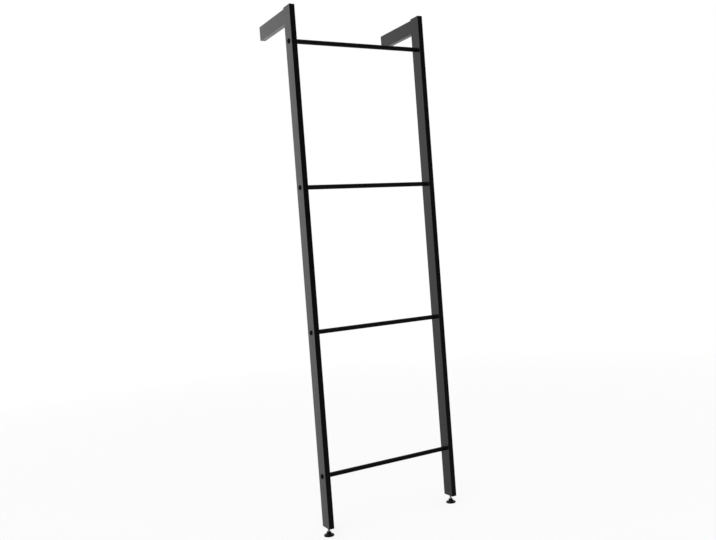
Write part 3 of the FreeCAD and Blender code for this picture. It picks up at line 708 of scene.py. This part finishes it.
class LADDER_OT_welds(Operator):
    """Weld the arms to the uprights: a bead over and under each, and flush seams at the sides"""
    bl_idname = "ladder.welds"
    bl_label = "Welds"

    def execute(self, context):
        sizes = context.scene.ladder_frame_sizes
        coat = finish(powder_coated_steel, context.scene)
        for side in SIDES:
            low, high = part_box(f"{side}_arm")
            middle = (low + high) / 2
            span = high.x - low.x - sizes.tube_corner
            for name, height, way in (("over", high.z, 1.0), ("under", low.z, -1.0)):
                bead = weld_bead(sizes, span, way)
                bmesh.ops.translate(bead, vec=(middle.x, low.y, height), verts=bead.verts)
                finish_piece(bead, f"{side}_arm_weld_{name}", "frame", "powder_coat", coat)
            seams = bmesh.new()
            for face, inwards in ((low.x, 1.0), (high.x, -1.0)):
                corner = sizes.tube_corner
                points = ((face, low.y - corner), (face, low.y), (face + inwards * corner, low.y))
                strip = seams.faces.new([seams.verts.new((x, y, low.z + corner)) for x, y in points])
                drawn = bmesh.ops.extrude_face_region(seams, geom=[strip])["geom"]
                bmesh.ops.translate(seams, vec=(0.0, 0.0, high.z - low.z - 2 * corner), verts=verts_of(drawn))
            finish_piece(seams, f"{side}_arm_side_welds", "frame", "powder_coat", coat)
        return {"FINISHED"}


class LADDER_OT_rungs(Operator):
    """Make the rungs, round steel tubes with deburred ends"""
    bl_idname = "ladder.rungs"
    bl_label = "Rungs"

    def execute(self, context):
        sizes = context.scene.ladder_frame_sizes
        coat = finish(powder_coated_steel, context.scene)
        for node in RUNGS:
            low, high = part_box(node)
            outer = (high.y - low.y) / 2
            inner = outer - sizes.rung_wall
            half = (high.x - low.x) / 2
            outline = Outline(inner, -half).line(outer, -half, sizes.cut_edge)
            outline.line(outer, half, sizes.cut_edge).line(inner, half).close()
            shape = outline.turned(TURN_STEPS)
            middle = Matrix.Translation((low + high) / 2)
            bmesh.ops.transform(shape, matrix=middle @ Matrix.Rotation(pi / 2, 4, "Y"), verts=shape.verts)
            finish_piece(shape, f"{node}_tube", "frame", "powder_coat", coat, node)
        return {"FINISHED"}


class LADDER_OT_rung_screws(Operator):
    """Make the flanged button-head screws that hold the rungs"""
    bl_idname = "ladder.rung_screws"
    bl_label = "Rung screws"

    def execute(self, context):
        sizes = context.scene.ladder_screw_sizes
        black = finish(black_plated_steel, context.scene)
        # Each screw stops at an angle of its own when it is tight.
        stop_turn = radians(37)
        for side, sign in SIDES.items():
            node = f"{side}_rung_screws"
            low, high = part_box(node)
            across = high.x - low.x
            seat = sign * (max(abs(low.x), abs(high.x)) - sizes.rung_head_high)
            screw = button_screw(sizes, sizes.rung_outer, sizes.rung_pitch, across - sizes.rung_head_high,
                                 sizes.rung_head, sizes.rung_head_high, sizes.rung_key, sizes.rung_key_deep,
                                 sizes.rung_flange, sizes.rung_flange_thick)
            places = []
            for number, rung in enumerate(RUNGS):
                rung_low, rung_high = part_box(rung)
                middle = (rung_low + rung_high) / 2
                turn = Matrix.Rotation(sign * pi / 2, 4, "Y") @ Matrix.Rotation(number * stop_turn, 4, "Z")
                places.append(Matrix.Translation((seat, middle.y, middle.z)) @ turn)
            screws = copies(screw, places)
            finish_piece(screws, f"{side}_rung_screw_set", "frame", "black_screw", black, node)
        return {"FINISHED"}


def carry(shape, face, wide, deep, drop):
    """Carries a level face downwards, and brings it to a new width and depth."""
    drawn = bmesh.ops.extrude_discrete_faces(shape, faces=[face])["faces"][0]
    middle = drawn.calc_center_median()
    old_wide = max(abs(vert.co.x - middle.x) for vert in drawn.verts) * 2
    old_deep = max(abs(vert.co.y - middle.y) for vert in drawn.verts) * 2
    bmesh.ops.scale(shape, vec=(wide / old_wide, deep / old_deep, 1.0), space=Matrix.Translation(-middle),
                    verts=drawn.verts)
    bmesh.ops.translate(shape, vec=(0.0, 0.0, -drop), verts=drawn.verts)
    return drawn


class LADDER_OT_top_plugs(Operator):
    """Make the finned plugs that close the tops of the uprights"""
    bl_idname = "ladder.top_plugs"
    bl_label = "Top plugs"

    def execute(self, context):
        sizes = context.scene.ladder_frame_sizes
        nylon = finish(moulded_polyamide, context.scene)
        for side in SIDES:
            node = f"{side}_top_plug"
            low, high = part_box(node)
            wide = high.x - low.x
            deep = high.y - low.y
            seat = high.z - sizes.plug_head
            shape = bmesh.new()
            block = Matrix.Translation(middle_at(node, (seat + high.z) / 2))
            block @= Matrix.Diagonal((wide, deep, sizes.plug_head, 1.0))
            bmesh.ops.create_cube(shape, size=1.0, matrix=block)
            upright_edges = [edge for edge in shape.edges
                             if abs(edge.verts[0].co.z - edge.verts[1].co.z) > MERGE]
            soften(shape, upright_edges, sizes.tube_corner, CORNER_STEPS)
            foot = min(shape.faces, key=lambda face: face.calc_center_median().z)
            self.add_core(shape, foot, sizes, wide, deep, seat - low.z)
            self.round_head(shape, sizes, wide, deep)
            finish_piece(shape, f"{side}_top_cap", "frame", "black_polyamide", nylon, node)
        return {"FINISHED"}

    @staticmethod
    def round_head(shape, sizes, wide, deep):
        """Rounds the head's upper edge and raises its face to a slight crown."""
        face = max(shape.faces, key=lambda face: face.calc_center_median().z)
        soften(shape, list(face.edges), sizes.plug_edge)
        face = max(shape.faces, key=lambda face: face.calc_center_median().z)
        margin = 2 * sizes.crown_margin
        carry(shape, face, wide - margin, deep - margin, -sizes.plug_crown)

    @staticmethod
    def add_core(shape, foot, sizes, wide, deep, depth):
        """Draws the plug's core and its fins down from the head, and hollows the core from below."""
        fin_wide = wide - 2 * (sizes.tube_wall + sizes.plug_clearance)
        fin_deep = deep - 2 * (sizes.tube_wall + sizes.plug_clearance)
        core_wide = fin_wide - 2 * sizes.plug_inset
        core_deep = fin_deep - 2 * sizes.plug_inset
        # A fin's two faces slope, each over a quarter of its thickness.
        slope = sizes.fin_thick / 4
        face = carry(shape, foot, core_wide, core_deep, 0.0)
        face = carry(shape, face, core_wide, core_deep, sizes.fin_start)
        for _ in range(sizes.fin_count):
            face = carry(shape, face, fin_wide, fin_deep, slope)
            face = carry(shape, face, fin_wide, fin_deep, sizes.fin_thick - 2 * slope)
            face = carry(shape, face, core_wide, core_deep, slope)
            face = carry(shape, face, core_wide, core_deep, sizes.fin_spacing - sizes.fin_thick)
        used = sizes.fin_start + sizes.fin_count * sizes.fin_spacing
        face = carry(shape, face, core_wide, core_deep, depth - used)
        hollow_wide = core_wide - 2 * sizes.plug_wall
        hollow_deep = core_deep - 2 * sizes.plug_wall
        face = carry(shape, face, hollow_wide, hollow_deep, 0.0)
        carry(shape, face, hollow_wide, hollow_deep, -depth)


class LADDER_OT_foot_sockets(Operator):
    """Finish the finned sockets in the lower ends of the uprights, and their nuts"""
    bl_idname = "ladder.foot_sockets"
    bl_label = "Foot sockets and nuts"

    def execute(self, context):
        sizes = context.scene.ladder_frame_sizes
        nylon = finish(moulded_polyamide, context.scene)
        zinc = finish(turned_zinc, context.scene)
        for side in SIDES:
            node = f"{side}_foot_socket"
            shape = merged_copy(node)
            soften(shape, sharp_edges(shape), sizes.moulded_edge)
            finish_piece(shape, f"{node}_moulding", "frame", "black_polyamide", nylon, node)
            coat_node(f"{side}_foot_nut", zinc)
        return {"FINISHED"}


class LADDER_OT_spindles(Operator):
    """Make the threaded spindles of the feet, with their balls and spanner flats"""
    bl_idname = "ladder.spindles"
    bl_label = "Foot spindles"

    def execute(self, context):
        sizes = context.scene.ladder_foot_sizes
        zinc = finish(turned_zinc, context.scene)
        neck = sizes.neck_outer / 2
        shank = sizes.spindle_outer / 2
        ball = sizes.ball_outer / 2
        root = thread_root(sizes.spindle_outer, sizes.spindle_pitch)
        collar_top = sizes.flats_high + sizes.collar_edge
        undercut_low = collar_top + shank - root
        undercut_high = undercut_low + sizes.undercut_long
        # The thread is joined to the undercut across a gap that is too short to see.
        thread_low = undercut_high + 10 * MERGE
        for side in SIDES:
            node = f"{side}_foot_spindle"
            low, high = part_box(node)
            top = high.z - low.z - ball
            outline = Outline(0.0, -ball).arc(0.0, 0.0, pi / 2 + acos(neck / ball))
            outline.line(neck, sizes.neck_high).line(shank, sizes.neck_high + shank - neck)
            outline.line(shank, sizes.flats_low).line(shank, sizes.flats_low + sizes.collar_edge)
            outline.line(shank, sizes.flats_high - sizes.collar_edge).line(shank, sizes.flats_high)
            outline.line(shank, collar_top).line(root, undercut_low).line(root, undercut_high)
            shape = outline.turned(TURN_STEPS)
            self.mill_flats(shape, sizes)
            add_thread(shape, sizes.spindle_outer, sizes.spindle_pitch, thread_low, top)
            ends = open_edges(shape, undercut_high) + open_edges(shape, thread_low)
            bmesh.ops.bridge_loops(shape, edges=ends)
            cap(shape, top)
            bmesh.ops.translate(shape, vec=middle_at(node, low.z + ball), verts=shape.verts)
            finish_piece(shape, f"{node}_rod", f"{side}_spindle", "zinc", zinc, node)
        return {"FINISHED"}

    @staticmethod
    def mill_flats(shape, sizes):
        """Presses the collar's two sides flat for a spanner."""
        half = sizes.spanner_flats / 2
        for vert in shape.verts:
            inside = sizes.flats_low + MERGE < vert.co.z < sizes.flats_high - MERGE
            if inside and abs(vert.co.y) > half:
                vert.co.y = half if vert.co.y > 0 else -half


class LADDER_OT_pads(Operator):
    """Make the moulded pads of the feet, with their domed hubs and ball seats"""
    bl_idname = "ladder.pads"
    bl_label = "Foot pads"

    def execute(self, context):
        sizes = context.scene.ladder_foot_sizes
        nylon = finish(moulded_polyamide, context.scene)
        for side in SIDES:
            node = f"{side}_foot_pad"
            low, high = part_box(node)
            rim = (high.x - low.x) / 2
            top = high.z - low.z
            mouth = sizes.hub_mouth / 2
            seat = sizes.ball_outer / 2 + sizes.ball_clearance
            lip = acos(mouth / seat)
            outline = Outline(0.0, 0.0).line(rim, 0.0, sizes.pad_sole_edge)
            outline.line(rim, sizes.pad_rim, sizes.pad_rim_round)
            outline.line(sizes.hub_foot / 2, sizes.hub_foot_high, sizes.hub_foot_round)
            outline.line(sizes.hub_top / 2, top, sizes.hub_top_round)
            outline.line(mouth, top, sizes.pad_sole_edge).line(mouth, sizes.ball_height + seat * sin(lip))
            shape = outline.arc(0.0, sizes.ball_height, -lip - pi / 2).turned(TURN_STEPS)
            bmesh.ops.translate(shape, vec=middle_at(node, low.z), verts=shape.verts)
            finish_piece(shape, f"{node}_moulding", f"{side}_foot", "black_polyamide", nylon, node)
        return {"FINISHED"}


class LADDER_OT_wall_fixings(Operator):
    """Finish the wall brackets and make the screws that clamp them in the arms"""
    bl_idname = "ladder.wall_fixings"
    bl_label = "Wall brackets and screws"

    def execute(self, context):
        frame_sizes = context.scene.ladder_frame_sizes
        sizes = context.scene.ladder_screw_sizes
        zinc = finish(sheet_zinc, context.scene)
        black = finish(black_plated_steel, context.scene)
        stop_turn = radians(52)
        for side, sign in SIDES.items():
            bracket = f"{side}_wall_bracket"
            shape = merged_copy(bracket)
            soften(shape, sharp_edges(shape), frame_sizes.moulded_edge)
            finish_piece(shape, f"{bracket}_pressing", "frame", "zinc", zinc, bracket)
            node = f"{side}_bracket_screw"
            low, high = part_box(node)
            shank = high.z - low.z - sizes.clamp_head_high
            screw = button_screw(sizes, sizes.clamp_outer, sizes.clamp_pitch, shank, sizes.clamp_head,
                                 sizes.clamp_head_high, sizes.clamp_key, sizes.clamp_key_deep)
            seat = Matrix.Translation(middle_at(node, high.z - sizes.clamp_head_high))
            turn = Matrix.Rotation(sign * stop_turn, 4, "Z")
            bmesh.ops.transform(screw, matrix=seat @ turn, verts=screw.verts)
            finish_piece(screw, f"{node}_button", "frame", "black_screw", black, node)
        return {"FINISHED"}


class LADDER_OT_inner_steel(Operator):
    """Plate the sleeves and inserts inside the tubes"""
    bl_idname = "ladder.inner_steel"
    bl_label = "Sleeves and inserts"

    def execute(self, context):
        zinc = finish(bar_zinc, context.scene)
        for side in SIDES:
            coat_node(f"{side}_spacer_sleeves", zinc)
            coat_node(f"{side}_rung_inserts", zinc)
        return {"FINISHED"}


class LADDER_OT_stage(Operator):
    """Lay the floor, light the backdrop, hang the lamp and set up the camera"""
    bl_idname = "ladder.stage"
    bl_label = "Stage"

    def execute(self, context):
        stage = context.scene.ladder_stage
        colours = context.scene.ladder_colours
        context.scene.view_settings.view_transform = "Standard"
        self.lay_floor(context.scene, stage, colours)
        self.light_backdrop(context.scene, stage, colours)
        self.hang_lamp(context.scene, stage)
        self.place_camera(context.scene, stage)
        return {"FINISHED"}

    @staticmethod
    def lay_floor(scene, stage, colours):
        """Lays a pale floor that runs into the backdrop and keeps the ladder's shadow.

        The camera sees through most of it, so a foot that is screwed down below it stays in sight,
        and through all of its rim, so that no edge shows against the backdrop.
        """
        shape = bmesh.new()
        bmesh.ops.create_circle(shape, segments=FLOOR_STEPS, radius=stage.floor_radius, cap_ends=True)
        mesh = bpy.data.meshes.new("floor")
        shape.to_mesh(mesh)
        shape.free()
        material = new_material("pale_floor")
        tree = material.node_tree
        ray = add(tree, "ShaderNodeLightPath", {})
        place = add(tree, "ShaderNodeTexCoord", {})["Object"]
        far = add(tree, "ShaderNodeVectorMath", {0: place}, operation="LENGTH")
        fade = add(tree, "ShaderNodeMapRange", {"Value": far["Value"], "From Min": 0.0,
                                                "From Max": stage.floor_radius, "To Min": stage.floor_clear,
                                                "To Max": 1.0})
        clear = add(tree, "ShaderNodeMath", {0: ray["Is Camera Ray"], 1: fade["Result"]},
                    operation="MULTIPLY")
        matte = add(tree, "ShaderNodeBsdfDiffuse", {"Color": opaque(colours.floor)})
        glass = add(tree, "ShaderNodeBsdfTransparent", {})
        mixed = add(tree, "ShaderNodeMixShader", {0: clear["Value"], 1: matte["BSDF"], 2: glass["BSDF"]})
        add(tree, "ShaderNodeOutputMaterial", {"Surface": mixed["Shader"]})
        mesh.materials.append(material)
        floor = bpy.data.objects.new("floor", mesh)
        scene.collection.objects.link(floor)
        floor.visible_glossy = False

    @staticmethod
    def light_backdrop(scene, stage, colours):
        """A white backdrop stands behind the ladder and the room in front of it is dark.

        The camera sees plain white all round. A glossy surface sees the backdrop fade out towards
        the front, brighter high up than low down, a faint glow from the floor with a brighter pool
        behind on the right, a screen behind on the right and a soft box far out on each side. A matte
        surface gets the same light from all round.
        """
        # Every number here is a part of a direction of length one. Each light that is added has its
        # strength and, for each part that it depends on, where it begins and where it is full.
        front, back_start, back_full = -1.0, 0.7, 0.95
        down, up = -1.0, 1.0
        added = (
            (stage.low_light, {"Z": (0.0, -0.35)}),
            (stage.left_box, {"X": (-0.64, -0.85)}),
            (stage.right_box, {"X": (0.76, 0.92)}),
            (stage.rear_screen, {"X": (0.6, 0.72), "Y": (0.2, 0.55)}),
            (stage.floor_pool, {"X": (0.2, 0.38), "Y": (0.6, 0.78), "Z": (-0.14, -0.24)}),
        )
        world = bpy.data.worlds.new("studio")
        scene.world = world
        world.use_nodes = True
        tree = world.node_tree
        tree.nodes.clear()
        way = add(tree, "ShaderNodeTexCoord", {})["Generated"]
        parts = add(tree, "ShaderNodeSeparateXYZ", {"Vector": way})
        side = add(tree, "ShaderNodeMapRange", {"Value": parts["Y"], "From Min": front,
                                                "From Max": back_start, "To Min": stage.front_light,
                                                "To Max": stage.side_light})
        rear = add(tree, "ShaderNodeMapRange", {"Value": parts["Y"], "From Min": back_start,
                                                "From Max": back_full, "To Min": side["Result"],
                                                "To Max": stage.back_light})
        slope = add(tree, "ShaderNodeMapRange", {"Value": parts["Z"], "From Min": down, "From Max": up,
                                                 "To Min": 1 - stage.rise, "To Max": 1 + stage.rise})
        seen = add(tree, "ShaderNodeMath", {0: rear["Result"], 1: slope["Result"]}, operation="MULTIPLY")
        for light, spans in added:
            for part, (start, full) in spans.items():
                light = add(tree, "ShaderNodeMapRange", {"Value": parts[part], "From Min": start,
                                                         "From Max": full, "To Min": 0.0,
                                                         "To Max": light})["Result"]
            seen = add(tree, "ShaderNodeMath", {0: seen["Value"], 1: light}, operation="ADD")
        ray = add(tree, "ShaderNodeLightPath", {})
        lit = add(tree, "ShaderNodeMix", {FACTOR: ray["Is Diffuse Ray"], VALUE_A: seen["Value"],
                                          VALUE_B: stage.fill_light})
        strength = add(tree, "ShaderNodeMix", {FACTOR: ray["Is Camera Ray"], VALUE_A: lit[MIXED_VALUE],
                                               VALUE_B: 1.0})
        backdrop = add(tree, "ShaderNodeBackground", {"Color": opaque(colours.backdrop),
                                                      "Strength": strength[MIXED_VALUE]})
        add(tree, "ShaderNodeOutputWorld", {"Surface": backdrop["Background"]})

    @staticmethod
    def hang_lamp(scene, stage):
        """Hangs one broad lamp over the ladder, to its front left."""
        data = bpy.data.lights.new("top_lamp", "AREA")
        data.shape = "DISK"
        data.size = stage.lamp_size
        data.energy = stage.lamp_power
        lamp = bpy.data.objects.new("top_lamp", data)
        scene.collection.objects.link(lamp)
        turn = (stage.lamp_aim - stage.lamp_place).to_track_quat("-Z", "Y").to_matrix().to_4x4()
        lamp.matrix_world = Matrix.Translation(stage.lamp_place) @ turn
        lamp.visible_camera = False

    @staticmethod
    def place_camera(scene, stage):
        """Stands the camera where the photograph was taken from."""
        data = bpy.data.cameras.new("camera")
        data.sensor_width = SENSOR_WIDTH
        data.sensor_fit = "HORIZONTAL"
        data.lens = stage.lens
        camera = bpy.data.objects.new("camera", data)
        scene.collection.objects.link(camera)
        turn = Matrix.Rotation(-stage.heading, 4, "Z") @ Matrix.Rotation(pi / 2 + stage.pitch, 4, "X")
        turn @= Matrix.Rotation(stage.roll, 4, "Z")
        camera.matrix_world = Matrix.Translation(stage.eye) @ turn
        scene.camera = camera


OPERATORS = (LADDER_OT_tubes, LADDER_OT_welds, LADDER_OT_rungs, LADDER_OT_rung_screws, LADDER_OT_top_plugs,
             LADDER_OT_foot_sockets, LADDER_OT_spindles, LADDER_OT_pads, LADDER_OT_wall_fixings,
             LADDER_OT_inner_steel, LADDER_OT_stage)


class LADDER_PT_panel(Panel):
    """Lists the ladder's pieces in the sidebar"""
    bl_idname = "LADDER_PT_panel"
    bl_label = "Towel ladder"
    bl_space_type = "VIEW_3D"
    bl_region_type = "UI"
    bl_category = "Ladder"

    def draw(self, context):
        for operator in OPERATORS:
            self.layout.operator(operator.bl_idname)


GROUPS = {"ladder_frame_sizes": LadderFrameSizes, "ladder_screw_sizes": LadderScrewSizes,
          "ladder_foot_sizes": LadderFootSizes, "ladder_colours": LadderColours, "ladder_stage": LadderStage}


def register():
    """Adds the ladder's settings, operators and panel."""
    for group in GROUPS.values():
        bpy.utils.register_class(group)
    for name, group in GROUPS.items():
        setattr(bpy.types.Scene, name, PointerProperty(type=group))
    for operator in OPERATORS:
        bpy.utils.register_class(operator)
    bpy.utils.register_class(LADDER_PT_panel)


def unregister():
    """Takes them away again."""
    bpy.utils.unregister_class(LADDER_PT_panel)
    for operator in reversed(OPERATORS):
        bpy.utils.unregister_class(operator)
    for name in GROUPS:
        delattr(bpy.types.Scene, name)
    for group in GROUPS.values():
        bpy.utils.unregister_class(group)


def main():
    """Makes the whole ladder and its stage, piece by piece."""
    register()
    bpy.ops.ladder.tubes()
    bpy.ops.ladder.welds()
    bpy.ops.ladder.rungs()
    bpy.ops.ladder.rung_screws()
    bpy.ops.ladder.top_plugs()
    bpy.ops.ladder.foot_sockets()
    bpy.ops.ladder.spindles()
    bpy.ops.ladder.pads()
    bpy.ops.ladder.wall_fixings()
    bpy.ops.ladder.inner_steel()
    bpy.ops.ladder.stage()


if __name__ == "__main__":
    main()
